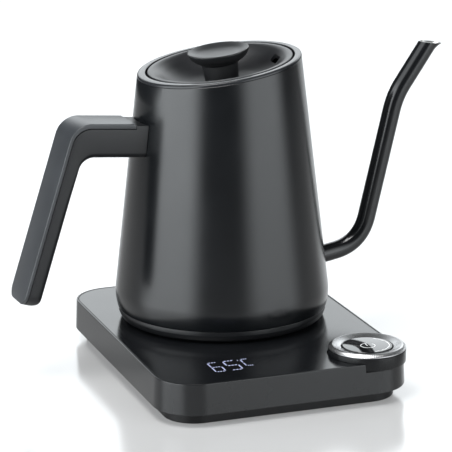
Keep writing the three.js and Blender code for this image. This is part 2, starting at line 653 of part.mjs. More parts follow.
HANDLE_SCREWS.forEach((x, i) => {
  const handleScrew = piece(`handle_screw_${i + 1}`, screw(2.8, 1.4, 106.8, 108.2, 117.4), STEEL);
  handleScrew.position.set(x, 0, 0);
  kettle.add(handleScrew);
});

const mouth = new THREE.Group();
mouth.position.copy(RIM_ORIGIN);
mouth.rotation.y = -RIM_TILT;
mouth.add(piece('rim_collar', rimCollar(), GREY_PLASTIC));
mouth.add(piece('collar_gasket', ring(46.5, 47.2, -9, -5.5), SILICONE));
kettle.add(mouth);

// The centre contact that the kettle turns about
const swivel = new THREE.Group();
swivel.position.set(0, 0, PLATE);
swivel.add(piece('contact_pin', turned([[0, -7], [3.2, -7], [3.2, 8.6], [2.2, 9.6], [0, 9.6]], 24), BRASS));

// ---- Lid ----------------------------------------------------------------------------------
const VENT_ANGLE = -0.1; // where the steam slot is, round the lid from the spout's side

function lidPan() {
  const top = [
    [43.2, -0.6], [42.7, 0], [40.4, -0.2], [37.2, -2], [34, -4.8],
    [30, -8], [25, -10.8], [18, -12.6], [2.1, -13.2],
  ];
  const under = [
    [2.1, -14.7], [18.5, -14.1], [25.8, -12.2], [31, -9.2], [35, -6],
    [38, -3.5], [41.6, -2], [41.6, -7], [43.2, -7],
  ];
  const vent = new THREE.BoxGeometry(3.7, 10.4, 20).translate(34.1, 0, -6).rotateZ(VENT_ANGLE);
  return turned([...top, ...under], 36).subtract(solid(vent));
}

function lidBase() {
  const outline = [
    [2.1, -15], [2.1, -18], [40.6, -18], [41.2, -17.4], [41.2, -7.5],
    [39.7, -7.5], [39.7, -16.5], [5, -16.5], [5, -15],
  ];
  const vent = new THREE.CylinderGeometry(2.4, 2.4, 10, 16).rotateX(Math.PI / 2).translate(33, 0, -17);
  return turned(outline, 28).subtract(solid(vent));
}

function lidKnob() {
  const outline = [
    [0, -12.9], [9.7, -12.9], [10.9, -0.4], [12, 0.6], [14.6, 1.9], [17, 4.2], [18.1, 6.4],
    [18.3, 7.3], [18, 7.75], [16.9, 7.5], [13.6, 6.1], [8, 5], [0, 4.7],
  ];
  return turned(outline, 28).subtract(discAt(0, 0, 2, -14, -5, 10));
}

const lid = new THREE.Group();
lid.position.copy(RIM_ORIGIN);
lid.rotation.y = -RIM_TILT;
lid.add(piece('lid_pan', lidPan(), BLACK_PLASTIC));
lid.add(piece('lid_base', lidBase(), BLACK_PLASTIC));
lid.add(piece('lid_seal', ring(41.5, 44.1, -10.4, -7.9), SILICONE));
lid.add(piece('lid_knob', lidKnob(), BLACK_PLASTIC));
lid.add(piece('lid_screw', screw(4, 1.7, -20, -18.3, -6), STEEL));
kettle.add(lid);

// ---- Whole object, with its origin on the floor below the middle of its bounding box ------
const whole = new THREE.Group();
whole.add(base, knob, button, swivel, kettle);
whole.updateMatrixWorld(true);
const bounds = new THREE.Box3().setFromObject(whole, true);
const middle = bounds.getCenter(new THREE.Vector3());
whole.position.set(-middle.x, -middle.y, -bounds.min.z);

export default whole;
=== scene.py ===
"""Looks for an electric gooseneck kettle on its rectangular base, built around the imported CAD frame."""
import json
import math

import bmesh
import bpy
from mathutils import Matrix, Vector


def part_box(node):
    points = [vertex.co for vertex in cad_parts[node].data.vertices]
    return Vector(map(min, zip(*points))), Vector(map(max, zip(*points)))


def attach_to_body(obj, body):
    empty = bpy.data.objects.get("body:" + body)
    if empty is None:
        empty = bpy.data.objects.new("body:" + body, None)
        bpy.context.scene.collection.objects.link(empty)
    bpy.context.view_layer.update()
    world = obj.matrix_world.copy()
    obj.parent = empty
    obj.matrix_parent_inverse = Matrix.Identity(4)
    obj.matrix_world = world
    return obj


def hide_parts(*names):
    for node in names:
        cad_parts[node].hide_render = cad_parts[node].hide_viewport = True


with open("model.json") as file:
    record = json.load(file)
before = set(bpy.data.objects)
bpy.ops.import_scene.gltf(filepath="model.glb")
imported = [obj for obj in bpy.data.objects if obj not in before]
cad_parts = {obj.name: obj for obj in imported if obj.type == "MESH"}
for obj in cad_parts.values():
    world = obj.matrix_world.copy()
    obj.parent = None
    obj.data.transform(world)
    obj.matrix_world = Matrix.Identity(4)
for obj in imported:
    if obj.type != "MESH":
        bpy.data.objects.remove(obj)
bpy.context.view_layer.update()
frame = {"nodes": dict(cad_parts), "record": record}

TAU = 2 * math.pi
MM = 0.001

# ---- Places, taken from the frame ---------------------------------------------------------
pin_low, pin_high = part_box("contact_pin")
ring_low, ring_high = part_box("knob_ring")
axis_point = (pin_low + pin_high) / 2
knob_point = (ring_low + ring_high) / 2
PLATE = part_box("base_housing")[1].z  # height of the base's top face
YAW = math.radians(3)  # how the kettle stands turned on its base

# The pieces are drawn in millimetres in these frames.
BASE = Matrix.Translation((axis_point.x, axis_point.y, 0)) @ Matrix.Scale(MM, 4)
KETTLE = Matrix.Translation((axis_point.x, axis_point.y, PLATE)) \
    @ Matrix.Rotation(YAW, 4, "Z") @ Matrix.Scale(MM, 4)
KNOB = Matrix.Translation((knob_point.x, knob_point.y, PLATE)) @ Matrix.Scale(MM, 4)

# ---- Sizes in millimetres, the CAD model's unless a note says otherwise -------------------
GAP = 0.3
BASE_WIDTH = 150
BASE_FRONT = -121
BASE_BACK = 78
BASE_CORNER = 24
BASE_DRAFT = 0.7
LEDGE_WIDTH = 9
PLATE_Z = PLATE / MM
HOUSING_BOTTOM = PLATE_Z - 18.3
PANEL_INSET = 1.2
LEDGE_TOP = PLATE_Z - 2.9
TRAY_INSET = 5.7
TRAY_TOP = 9.4
TRAY_FLOOR = 3
FOOT_POCKET_RADIUS = 6.4
SCREW_HEAD_HOLE = 3.1  # radius
SCREW_HOLE = 1.9  # radius
CONNECTOR_HOLE = 14  # radius
GLAND_X = 32
GLAND_Z = 13.6
GLAND_HOLE = 5.2  # radius
KNOB_X = 53
KNOB_Y = -100.2
KNOB_RADIUS = 22.4
NOTCH_DEPTH = 4.9
BUTTON_RADIUS = 14.4
BUTTON_TOP = 4.4  # above the base's top face
FOOT_RADIUS = 65.34
SEAM_HEIGHT = 8.05
SLOPE = 0.1154
SHELL_WALL = 0.9
RIM_HEIGHT = 154.86
RIM_TILT = 0.1307
RIM_SHIFT = -0.4
MOUTH_RADIUS = 44.4
HANDLE_WIDTH = 26.8
BAR_START = Vector((-58.1, 125.4))
BEND = Vector((-95.46, 128.96))
LEG_END_Z = 24.05
LEG_END_RADIUS = 7
LEG_LEAN = 0.3276
BAR_THICK = 20.2
LEG_THICK = 10.8
BEND_RADIUS = 13.5
INNER_BEND_RADIUS = 9.5
COVER_ON_BAR = 2.9
COVER_ON_LEG = 2
SPOUT_RADIUS = 5.5
SPOUT_BORE = 4.7
SPOUT_ROOT_Z = 29.2
SPOUT_SLOPE = 0.16
SPOUT_ROOT_X = 58.5
SPOUT_ELBOW = Vector((92.2, 33.9))
SPOUT_UPPER_BEND = Vector((114.9, 124.5))
SPOUT_RISE = Vector((14.5, 20.4)).normalized()  # direction of the last straight stretch
MOUTH_X = 130.8
MOUTH_Z = 157.0  # at MOUTH_X, slightly higher than the CAD model's
MOUTH_LEAN = -2.1 / 15.8  # the opening slopes down towards the beak
VENT_RADIUS = 34.1
VENT_WIDTH = 3.7
VENT_LENGTH = 10.4
VENT_ANGLE = -0.1

RIM_ORIGIN = Vector((RIM_SHIFT * math.cos(RIM_TILT), 0, RIM_HEIGHT + RIM_SHIFT * math.sin(RIM_TILT)))
RIM_LOCAL = Matrix.Translation(RIM_ORIGIN) @ Matrix.Rotation(-RIM_TILT, 4, "Y")
RIM = KETTLE @ RIM_LOCAL


# ---- Materials ----------------------------------------------------------------------------
SLOW_NOISE = 38  # scale of the slow changes of tone and gloss, in waves per metre


def surface(name, color, rough, metal=0.0, grain=0.6, bump=0.02, rough_spread=0.06, tone_spread=0.12,
            **sockets):
    """Moulded, coated or metal surface: fine grain, slow changes of tone and gloss, all from noise.

    grain is the grain's size in millimetres and bump its height as a share of that size. sockets are
    further values of the shader, with _ for each space in the socket's name."""
    material = bpy.data.materials.new(name)
    material.use_nodes = True
    nodes = material.node_tree.nodes
    links = material.node_tree.links
    shader = nodes["Principled BSDF"]
    place = nodes.new("ShaderNodeTexCoord").outputs["Object"]

    def noise(scale, detail):
        node = nodes.new("ShaderNodeTexNoise")
        node.inputs["Scale"].default_value = scale
        node.inputs["Detail"].default_value = detail
        links.new(place, node.inputs["Vector"])
        return node.outputs["Fac"]

    def spread(value, low, high):
        node = nodes.new("ShaderNodeMapRange")
        node.inputs["From Min"].default_value = 0.3
        node.inputs["From Max"].default_value = 0.7
        node.inputs["To Min"].default_value = low
        node.inputs["To Max"].default_value = high
        links.new(value, node.inputs["Value"])
        return node.outputs["Result"]

    slow = noise(SLOW_NOISE, 3)
    fine = noise(1 / (grain * MM), 2)
    tone = nodes.new("ShaderNodeMix")
    tone.data_type = "RGBA"
    tone.blend_type = "MIX"
    tone.inputs["A"].default_value = (*[c * (1 - tone_spread) for c in color], 1)
    tone.inputs["B"].default_value = (*[min(1, c * (1 + tone_spread)) for c in color], 1)
    links.new(spread(slow, 0, 1), tone.inputs["Factor"])
    links.new(tone.outputs["Result"], shader.inputs["Base Color"])
    gloss = nodes.new("ShaderNodeMath")
    gloss.operation = "ADD"
    links.new(spread(slow, rough - rough_spread / 2, rough + rough_spread / 2), gloss.inputs[0])
    links.new(spread(fine, -rough_spread / 3, rough_spread / 3), gloss.inputs[1])
    links.new(gloss.outputs["Value"], shader.inputs["Roughness"])
    if bump > 0:
        relief = nodes.new("ShaderNodeBump")
        relief.inputs["Strength"].default_value = 1
        relief.inputs["Distance"].default_value = grain * MM * bump
        links.new(fine, relief.inputs["Height"])
        links.new(relief.outputs["Normal"], shader.inputs["Normal"])
    shader.inputs["Metallic"].default_value = metal
    for socket, value in sockets.items():
        shader.inputs[socket.replace("_", " ")].default_value = value
    return material


def brushed(name, color, rough, direction):
    """Metal with fine drawn lines: noise stretched along one axis."""
    material = surface(name, color, rough, 1.0, grain=0.5, bump=0.0)
    nodes = material.node_tree.nodes
    links = material.node_tree.links
    stretch = nodes.new("ShaderNodeMapping")
    stretch.inputs["Scale"].default_value = [40 if d else 3000 for d in direction]
    lines = nodes.new("ShaderNodeTexNoise")
    lines.inputs["Scale"].default_value = 1
    lines.inputs["Detail"].default_value = 3
    relief = nodes.new("ShaderNodeBump")
    relief.inputs["Distance"].default_value = 0.02 * MM
    links.new(nodes["Texture Coordinate"].outputs["Object"], stretch.inputs["Vector"])
    links.new(stretch.outputs["Vector"], lines.inputs["Vector"])
    links.new(lines.outputs["Fac"], relief.inputs["Height"])
    links.new(relief.outputs["Normal"], nodes["Principled BSDF"].inputs["Normal"])
    return material


def glowing(name, color, strength):
    """Lit segment behind the panel, in one even light."""
    material = surface(name, color, 0.5, grain=0.4, bump=0)
    shader = material.node_tree.nodes["Principled BSDF"]
    shader.inputs["Emission Color"].default_value = (*color, 1)
    shader.inputs["Emission Strength"].default_value = strength
    return material


COAT = surface("satin_coat", (0.0040, 0.0047, 0.0056), 0.235, grain=0.35, bump=0.03, rough_spread=0.04)
SPOUT_COAT = surface("spout_coat", (0.006, 0.0065, 0.0075), 0.18, grain=0.35, bump=0.02, rough_spread=0.04)
CASE = surface("base_case", (0.011, 0.0116, 0.0124), 0.20, grain=0.4, bump=0.02, Specular_IOR_Level=0.40)
PANEL = surface("base_panel", (0.006, 0.0065, 0.0075), 0.16, grain=0.3, bump=0.004, rough_spread=0.03,
                IOR=1.4)
TRAY = surface("tray_plastic", (0.005, 0.005, 0.0055), 0.4, grain=0.5, bump=0.04, Specular_IOR_Level=0.25)
CUP = surface("cup_plastic", (0.008, 0.0085, 0.0095), 0.32, grain=0.4, bump=0.03)
SKIRT = surface("knob_plastic", (0.006, 0.0063, 0.007), 0.26, grain=0.4, bump=0.02,
                Specular_IOR_Level=0.24)
RING_METAL = surface("knob_metal", (0.47, 0.47, 0.475), 0.28, 1.0, grain=0.25, bump=0.01,
                     tone_spread=0.04)
BUTTON_GLOSS = surface("button_gloss", (0.006, 0.006, 0.007), 0.06, grain=2.0, bump=0, rough_spread=0.02,
                       IOR=1.7)
HANDLE = surface("handle_plastic", (0.0095, 0.0100, 0.0112), 0.34, grain=0.4, bump=0.05,
                 Specular_IOR_Level=0.38)
COVER = surface("handle_cover_plastic", (0.034, 0.037, 0.041), 0.34, grain=0.35, bump=0.04)
COLLAR = surface("collar_plastic", (0.016, 0.017, 0.019), 0.20, grain=0.4, bump=0.03,
                 Specular_IOR_Level=0.32)
LID = surface("lid_plastic", (0.012, 0.0125, 0.014), 0.36, grain=0.4, bump=0.04)
LID_KNOB = surface("lid_knob_plastic", (0.012, 0.0125, 0.0135), 0.38, grain=0.4, bump=0.04)
RUBBER = surface("foot_rubber", (0.016, 0.016, 0.016), 0.8, grain=0.6, bump=0.08)
SILICONE = surface("seal_silicone", (0.30, 0.31, 0.32), 0.6, grain=0.6, bump=0.02)
BOARD = surface("circuit_board", (0.012, 0.09, 0.035), 0.42, grain=1.5, bump=0.01, tone_spread=0.3)
COMPONENT = surface("component_plastic", (0.07, 0.07, 0.075), 0.45, grain=0.6, bump=0.04)
GUIDE = surface("display_cover", (0.72, 0.72, 0.70), 0.5, grain=0.6, bump=0.02)
BRASS = surface("contact_brass", (0.70, 0.47, 0.18), 0.28, 1.0, grain=0.5, bump=0.01)
TANK_STEEL = brushed("tank_steel", (0.62, 0.62, 0.61), 0.36, (1, 0, 0))
SCREW_STEEL = brushed("screw_steel", (0.55, 0.55, 0.54), 0.3, (1, 0, 0))
BARE_ALUMINIUM = brushed("bare_aluminium", (0.72, 0.72, 0.72), 0.35, (0, 0, 1))
DISPLAY_LIGHT = glowing("display_light", (0.62, 0.66, 1.0), 0.42)
PRINT = surface("white_print", (0.86, 0.86, 0.86), 0.45, grain=0.3, bump=0.01, tone_spread=0.04)

SLOT_MATERIALS = {
    "shell_coat": COAT,
    "spout_coat": SPOUT_COAT,
    "base_case": CASE,
    "base_panel": PANEL,
    "tray_plastic": TRAY,
    "foot_rubber": RUBBER,
    "screw_steel": SCREW_STEEL,
    "circuit_board": BOARD,
    "component_plastic": COMPONENT,
    "bare_aluminium": BARE_ALUMINIUM,
    "display_cover": GUIDE,
    "contact_brass": BRASS,
    "knob_plastic": SKIRT,
    "knob_metal": RING_METAL,
    "button_gloss": BUTTON_GLOSS,
    "tank_steel": TANK_STEEL,
    "cup_plastic": CUP,
    "seal_silicone": SILICONE,
    "handle_plastic": HANDLE,
    "handle_cover_plastic": COVER,
    "collar_plastic": COLLAR,
    "lid_plastic": LID,
    "lid_knob_plastic": LID_KNOB,
}
for subpart in frame["record"]["subparts"]:
    cad_mesh = frame["nodes"][subpart["node"]].data
    cad_mesh.materials.clear()
    cad_mesh.materials.append(SLOT_MATERIALS[subpart["material_slot"]])


# ---- Shape helpers ------------------------------------------------------------------------
def make(name, points, faces, matrix, material, angle=30):
    """A mesh object from points in millimetres in the frame that matrix gives."""
    mesh = bpy.data.meshes.new(name)
    mesh.from_pydata([matrix @ Vector(p) for p in points], [], faces)
    work = bmesh.new()
    work.from_mesh(mesh)
    bmesh.ops.remove_doubles(work, verts=work.verts, dist=1e-7)
    bmesh.ops.recalc_face_normals(work, faces=work.faces)
    work.to_mesh(mesh)
    work.free()
    smooth(mesh, angle)
    mesh.materials.append(material)
    item = bpy.data.objects.new(name, mesh)
    bpy.context.scene.collection.objects.link(item)
    return item


def smooth(mesh, angle):
    """Smooth shading, with edges sharper than the angle kept sharp."""
    mesh.shade_smooth()
    mesh.set_sharp_from_angle(angle=math.radians(angle))


def attach(item, body, slot, *nodes):
    """Lets item move with a body, in place of the CAD nodes that are named."""
    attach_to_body(item, body)
    if nodes:
        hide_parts(*nodes)


def bridge(rows, closed=True):
    """Faces between loops of equal length; closed joins the last loop to the first."""
    count = len(rows[0])
    points = [p for row in rows for p in row]
    faces = []
    for k in range(len(rows) if closed else len(rows) - 1):
        low = k * count
        high = ((k + 1) % len(rows)) * count
        for i in range(count):
            j = (i + 1) % count
            faces.append((low + i, low + j, high + j, high + i))
    return points, faces


def capped(rows):
    """Faces between loops of equal length, with the first and the last loop filled in."""
    points, faces = bridge(rows, closed=False)
    count = len(rows[0])
    faces.append(tuple(reversed(range(count))))
    faces.append(tuple(range((len(rows) - 1) * count, len(rows) * count)))
    return points, faces


def rounded(corners, radii, steps=6, closed=True):
    """Corner points joined by straight lines, each corner rounded with its own radius."""
    path = []
    for i, corner in enumerate(corners):
        corner = Vector(corner)
        if radii[i] <= 0 or (not closed and i in (0, len(corners) - 1)):
            path.append(corner)
            continue
        before = (Vector(corners[i - 1]) - corner).normalized()
        after = (Vector(corners[(i + 1) % len(corners)]) - corner).normalized()
        half = math.acos(max(-1, min(1, before.dot(after)))) / 2
        centre = corner + (before + after).normalized() * radii[i] / math.sin(half)
        start = corner + before * radii[i] / math.tan(half) - centre
        sweep = math.pi - 2 * half
        side = 1 if before.x * after.y - before.y * after.x < 0 else -1
        for k in range(steps + 1):
            turn = side * sweep * k / steps
            path.append(centre + Vector((
                start.x * math.cos(turn) - start.y * math.sin(turn),
                start.x * math.sin(turn) + start.y * math.cos(turn),
            )))
    return path


def curve_through(points, steps=5):
    """Catmull-Rom curve through points."""
    path = []
    for i in range(len(points) - 1):
        a, b, c, d = (Vector(points[max(0, min(len(points) - 1, i + k))]) for k in (-1, 0, 1, 2))
        for k in range(steps):
            t = k / steps
            path.append(0.5 * ((2 * b) + (c - a) * t + (2 * a - 5 * b + 4 * c - d) * t ** 2
                               + (3 * b - a - 3 * c + d) * t ** 3))
    path.append(Vector(points[-1]))
    return path


def circle(x, y, radius, count=64):
    turns = [TAU * i / count for i in range(count)]
    return [(x + radius * math.cos(turn), y + radius * math.sin(turn)) for turn in turns]


def lathe(name, outline, matrix, material, segments=96):
    """Turns a closed outline of (radius, height) about Z."""
    rows = [[(x, y, z) for x, y in circle(0, 0, radius, segments)] for radius, z in outline]
    on_axis = outline[0][0] < 1e-6 and outline[-1][0] < 1e-6
    points, faces = bridge(rows, closed=not on_axis)
    return make(name, points, faces, matrix, material)


def soft(corners, radius):
    """A closed turning outline with every corner off the axis rounded by radius."""
    return rounded(corners, [0 if c[0] < 1e-6 else radius for c in corners], 3)


def base_loop(inset, z, spread=0.0):
    """The base's outline at height z, a rounded rectangle moved inwards by inset and outwards by spread."""
    half = BASE_WIDTH / 2 - inset + spread
    front = BASE_FRONT + inset - spread
    back = BASE_BACK - inset + spread
    corners = [(half, front), (half, back), (-half, back), (-half, front)]
    path = rounded(corners, [BASE_CORNER - inset + spread] * 4, 12)
    return [(p.x, p.y, z) for p in path]


def prism_tool(outline, low, high, matrix):
    """Closed prism for cutting, upright between two heights."""
    points, faces = capped([[(x, y, z) for x, y in outline] for z in (low, high)])
    return make("cutter", points, faces, matrix, COAT)


def cut(item, *tools, angle=30):
    """Subtracts the tools from item and removes them."""
    for tool in tools:
        change = item.modifiers.new("cut", "BOOLEAN")
        change.operation = "DIFFERENCE"
        change.solver = "EXACT"
        change.object = tool
    bpy.context.view_layer.update()
    result = bpy.data.meshes.new_from_object(item.evaluated_get(bpy.context.evaluated_depsgraph_get()))
    item.modifiers.clear()
    item.data = result
    for tool in tools:
        bpy.data.objects.remove(tool)
    smooth(result, angle)


def weighted(item):
    """Keeps flat faces flat beside rounded edges."""
    item.modifiers.new("weighted_normals", "WEIGHTED_NORMAL").keep_sharp = True


# ---- Base ---------------------------------------------------------------------------------
def gland_axis(y):
    """Frame on the cord gland's axis at this Y, its Z pointing to the front."""
    return BASE @ Matrix.Translation((GLAND_X, y, GLAND_Z)) @ Matrix.Rotation(math.pi / 2, 4, "X")


def make_base_housing():
    chamfer = 0.55
    wall = 2.4
    ledge_under = LEDGE_TOP - 2
    foot = [(0, 0.5), (0.15, 0.15), (0.5, 0), (wall - 0.2, 0)]
    inside = [
        (wall, HOUSING_BOTTOM + 0.3), (wall, ledge_under), (LEDGE_WIDTH, ledge_under),
        (LEDGE_WIDTH, LEDGE_TOP), (PANEL_INSET, LEDGE_TOP), (PANEL_INSET, PLATE_Z - 0.15),
        (PANEL_INSET - 0.15, PLATE_Z), (chamfer, PLATE_Z), (0.16, PLATE_Z - 0.2), (0, PLATE_Z - chamfer),
    ]
    rows = [base_loop(inset, HOUSING_BOTTOM + rise, BASE_DRAFT) for inset, rise in foot]
    rows += [base_loop(inset, z) for inset, z in inside]
    points, faces = bridge(rows)
    item = make("housing", points, faces, BASE, CASE)
    knob_edge = circle(KNOB_X, KNOB_Y, KNOB_RADIUS + 0.5, 128)
    pocket = prism_tool(knob_edge, PLATE_Z - NOTCH_DEPTH, PLATE_Z + 5, BASE)
    hole = [(0, -6), (GLAND_HOLE, -6), (GLAND_HOLE, 6), (0, 6)]
    gland_hole = lathe("cutter", hole, gland_axis(BASE_BACK), COAT, 48)
    cut(item, pocket, gland_hole)
    weighted(item)
    attach(item, "base", "base_case", "base_housing")


def make_top_panel():
    inset = PANEL_INSET + GAP
    top = PLATE_Z - 0.1
    bottom = LEDGE_TOP + GAP
    rows = [base_loop(inset, bottom), base_loop(inset, top - 0.25), base_loop(inset + 0.08, top - 0.08),
            base_loop(inset + 0.25, top)]
    points, faces = capped(rows)
    item = make("panel", points, faces, BASE, PANEL)
    holes = [circle(KNOB_X, KNOB_Y, KNOB_RADIUS + 0.8, 128), circle(0, 0, CONNECTOR_HOLE)]
    cut(item, *[prism_tool(hole, bottom - 1, top + 1, BASE) for hole in holes])
    weighted(item)
    attach(item, "base", "base_panel", "top_panel")


def middle_of(node):
    """A node's middle in the base's millimetres, seen from above."""
    low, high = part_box(node)
    place = BASE.inverted() @ ((low + high) / 2)
    return place.x, place.y


def make_tray():
    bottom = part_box("base_tray")[0].z / MM
    wall = TRAY_INSET + 2
    profile = [
        (TRAY_INSET + 0.5, bottom), (TRAY_INSET + 0.15, bottom + 0.15), (TRAY_INSET, bottom + 0.5),
        (TRAY_INSET, TRAY_TOP), (wall, TRAY_TOP), (wall, TRAY_FLOOR),
    ]
    points, faces = capped([base_loop(inset, z) for inset, z in profile])
    item = make("tray", points, faces, BASE, TRAY)
    tools = []
    for i in range(1, 5):
        foot = middle_of(f"foot_{i}")
        screw = middle_of(f"tray_screw_{i}")
        tools.append(prism_tool(circle(*foot, FOOT_POCKET_RADIUS, 40), 0, 2, BASE))
        tools.append(prism_tool(circle(*screw, SCREW_HEAD_HOLE, 32), 0, 2.4, BASE))
        tools.append(prism_tool(circle(*screw, SCREW_HOLE, 24), 0, 12, BASE))
    cut(item, *tools)
    weighted(item)
    attach(item, "base", "tray_plastic", "base_tray")


def make_feet():
    for i in range(1, 5):
        low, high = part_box(f"foot_{i}")
        centre = (low + high) / 2
        place = Matrix.Translation((centre.x, centre.y, 0)) @ Matrix.Scale(MM, 4)
        outline = soft([(0, 0), (6, 0), (6, 1.7), (0, 1.7)], 0.5)
        attach(lathe(f"foot_pad_{i}", outline, place, RUBBER, 48), "base", "foot_rubber", f"foot_{i}")


def make_connector():
    outline = soft([
        (3.5, 17.5), (13.6, 17.5), (13.6, 25.7), (21.5, 25.7), (21.5, 27.2), (20.6, 27.9), (8.6, 27.9),
        (8.6, 32.6), (8.0, 33.1), (3.5, 33.1),
    ], 0.25)
    attach(lathe("connector_boss", outline, BASE, TRAY, 96), "base", "tray_plastic", "connector")
    pin = soft([(0, 18.5), (3.2, 18.5), (3.2, 34.1), (2.2, 35.1), (0, 35.1)], 0.4)
    attach(lathe("centre_contact", pin, BASE, BRASS, 48), "swivel", "contact_brass", "contact_pin")


def make_gland():
    outline = soft([
        (3.3, -79.15), (4.6, -79.15), (5, -78.6), (5, -74.7), (6.6, -74.7), (6.6, -72.7), (3.3, -72.7),
    ], 0.25)
    attach(lathe("cable_gland", outline, gland_axis(0), RUBBER, 48), "base", "foot_rubber", "cord_gland")


# ---- Temperature display ------------------------------------------------------------------
DIGIT_TOP = -86.8  # Y of the row's upper edge
STROKE = 0.6
CHARACTERS = [  # strokes, X of the left and right edge, height
    ("acdefg", -39.8, -34.0, 16),
    ("acdfg", -30.6, -23.8, 16),
    ("adef", -20.0, -15.4, 11.5),
]
DEGREE_LEFT = Vector((-22.3, -87.8))
DEGREE_RIGHT = Vector((-21.3, -87.8))
SEGMENTS = {  # ends of each stroke on a unit cell, 1 wide and 2 high
    "a": ((0, 2), (1, 2)), "b": ((1, 2), (1, 1)), "c": ((1, 1), (1, 0)), "d": ((0, 0), (1, 0)),
    "e": ((0, 1), (0, 0)), "f": ((0, 2), (0, 1)), "g": ((0, 1), (1, 1)),
}


def dash(start, end, half, z, count):
    """Row of short flat bars from start to end, each a flat plate with eight corners."""
    points = []
    faces = []
    along = (end - start).normalized()
    across = Vector((-along.y, along.x))
    pitch = (end - start).length / count
    thick = 0.06
    for k in range(count):
        centre = start + along * pitch * (k + 0.5)
        reach = pitch / 2 - 0.28
        outline = [(reach, half * 0.4), (reach * 0.6, half), (-reach * 0.6, half), (-reach, half * 0.4)]
        outline += [(-u, -v) for u, v in outline]
        first = len(points)
        corners = [centre + along * u + across * v for u, v in outline]
        plate_points, plate_faces = capped([[(*corner, z) for corner in corners],
                                            [(*corner, z + thick) for corner in corners]])
        points += plate_points
        faces += [tuple(first + i for i in face) for face in plate_faces]
    return points, faces


def make_display():
    z = PLATE_Z - 0.1
    points = []
    faces = []

    def add(part):
        shift = len(points)
        points.extend(part[0])
        faces.extend(tuple(shift + i for i in face) for face in part[1])

    for strokes, left, right, height in CHARACTERS:
        bottom = DIGIT_TOP - height
        for key in strokes:
            ends = [Vector((left + (right - left) * u, bottom + height * v / 2)) for u, v in SEGMENTS[key]]
            inwards = (ends[1] - ends[0]).normalized() * 0.5
            add(dash(ends[0] + inwards, ends[1] - inwards, STROKE / 2, z, 3 if key in "adg" else 4))
    add(dash(DEGREE_LEFT, DEGREE_RIGHT, 0.4, z, 1))
    attach(make("display_digits", points, faces, BASE, DISPLAY_LIGHT), "base", "display_cover")


# ---- Control knob -------------------------------------------------------------------------
def make_knob():
    skirt = soft([
        (3.8, -0.6), (20.4, -0.6), (20.4, -4.4), (22.3, -4.4), (KNOB_RADIUS, 3), (20.4, 3), (20.4, 0.6),
        (3.8, 0.6),
    ], 0.25)
    attach(lathe("knob_skirt_wall", skirt, KNOB, SKIRT, 128), "knob", "knob_plastic", "knob_skirt")
    ribs = 130
    rib_depth = 0.3
    around = ribs * 4
    outline = rounded([
        (22.3, 3.3), (22.3, 3.75), (21.78, 4.2), (21.26, 4.66), (20.75, 5.12), (20.2, 5.3), (19.7, 5.2),
        (15.3, 3.95), (14.9, 3.3),
    ], [0, 0.1, 0, 0, 0.1, 0.15, 0.2, 0.2, 0], 3)
    rows = []
    for p in outline:
        on_bevel = 3.8 < p.y < 5.1 and p.x > 20.5
        row = []
        for i in range(around):
            angle = TAU * i / around
            groove = rib_depth * (0.5 - 0.5 * math.cos(ribs * angle)) if on_bevel else 0
            radius = p.x - groove
            row.append((radius * math.cos(angle), radius * math.sin(angle), p.y))
        rows.append(row)
    points, faces = bridge(rows)
    attach(make("knob_ring_ribbed", points, faces, KNOB, RING_METAL, 40), "knob", "knob_metal", "knob_ring")


def ribbon(path, half, z):
    """Flat raised line of the given half width along a path."""
    left = []
    right = []
    last = len(path) - 1
    for i, p in enumerate(path):
        along = (path[min(i + 1, last)] - path[max(i - 1, 0)]).normalized()
        across = Vector((-along.y, along.x)) * half
        left.append(p + across)
        right.append(p - across)
    top = z + 0.05
    sections = [[(*a, z), (*a, top), (*b, top), (*b, z)] for a, b in zip(left, right)]
    return capped(sections)


def arc(radius, start, end, middle=(0, 0), count=48):
    """Points on a circle between two angles in degrees."""
    turns = [math.radians(start + (end - start) * i / (count - 1)) for i in range(count)]
    return [Vector(middle) + radius * Vector((math.cos(turn), math.sin(turn))) for turn in turns]


def make_button():
    pin_end = -14.6
    rim = BUTTON_RADIUS
    outline = rounded([
        (0, pin_end), (2.2, pin_end), (2.2, 1.6), (rim - 0.4, 1.6), (rim, 2), (rim, BUTTON_TOP - 0.2),
        (rim - 0.3, BUTTON_TOP), (0, BUTTON_TOP),
    ], [0, 0.2, 0.2, 0.1, 0.1, 0.15, 0.15, 0], 3)
    item = lathe("button_cap", outline, KNOB, BUTTON_GLOSS, 128)
    attach(item, "button", "button_gloss", "power_button")
    prints = [
        ribbon(arc(12.7, -92, 52), 0.27, BUTTON_TOP),
        ribbon(arc(4.15, 78, 392, (-0.1, -1.2)), 0.22, BUTTON_TOP),
        ribbon([Vector((-0.4, 3.5)), Vector((-0.45, -1.6))], 0.22, BUTTON_TOP),
    ]
    for number, (points, faces) in enumerate(prints):
        item = make(f"button_print_{number + 1}", points, faces, KNOB, PRINT)
        attach(item, "button", "button_gloss")


# ---- Kettle body --------------------------------------------------------------------------
AROUND = 192  # points around the shell and the collar


def cone_radius(z):
    return FOOT_RADIUS - SLOPE * (z - SEAM_HEIGHT)


def rim_cut(angle, offset, shift=0.0):
    """Point at this angle where the cone, moved in by shift, meets the rim's plane, moved up by offset."""
    tilt_sin = math.sin(RIM_TILT)
    tilt_cos = math.cos(RIM_TILT)
    reach = FOOT_RADIUS + SLOPE * SEAM_HEIGHT - shift
    z = (offset + tilt_cos * RIM_ORIGIN.z - tilt_sin * RIM_ORIGIN.x + tilt_sin * math.cos(angle) * reach) \
        / (tilt_cos + tilt_sin * math.cos(angle) * SLOPE)
    r = reach - SLOPE * z
    return Vector((r * math.cos(angle), r * math.sin(angle), z))


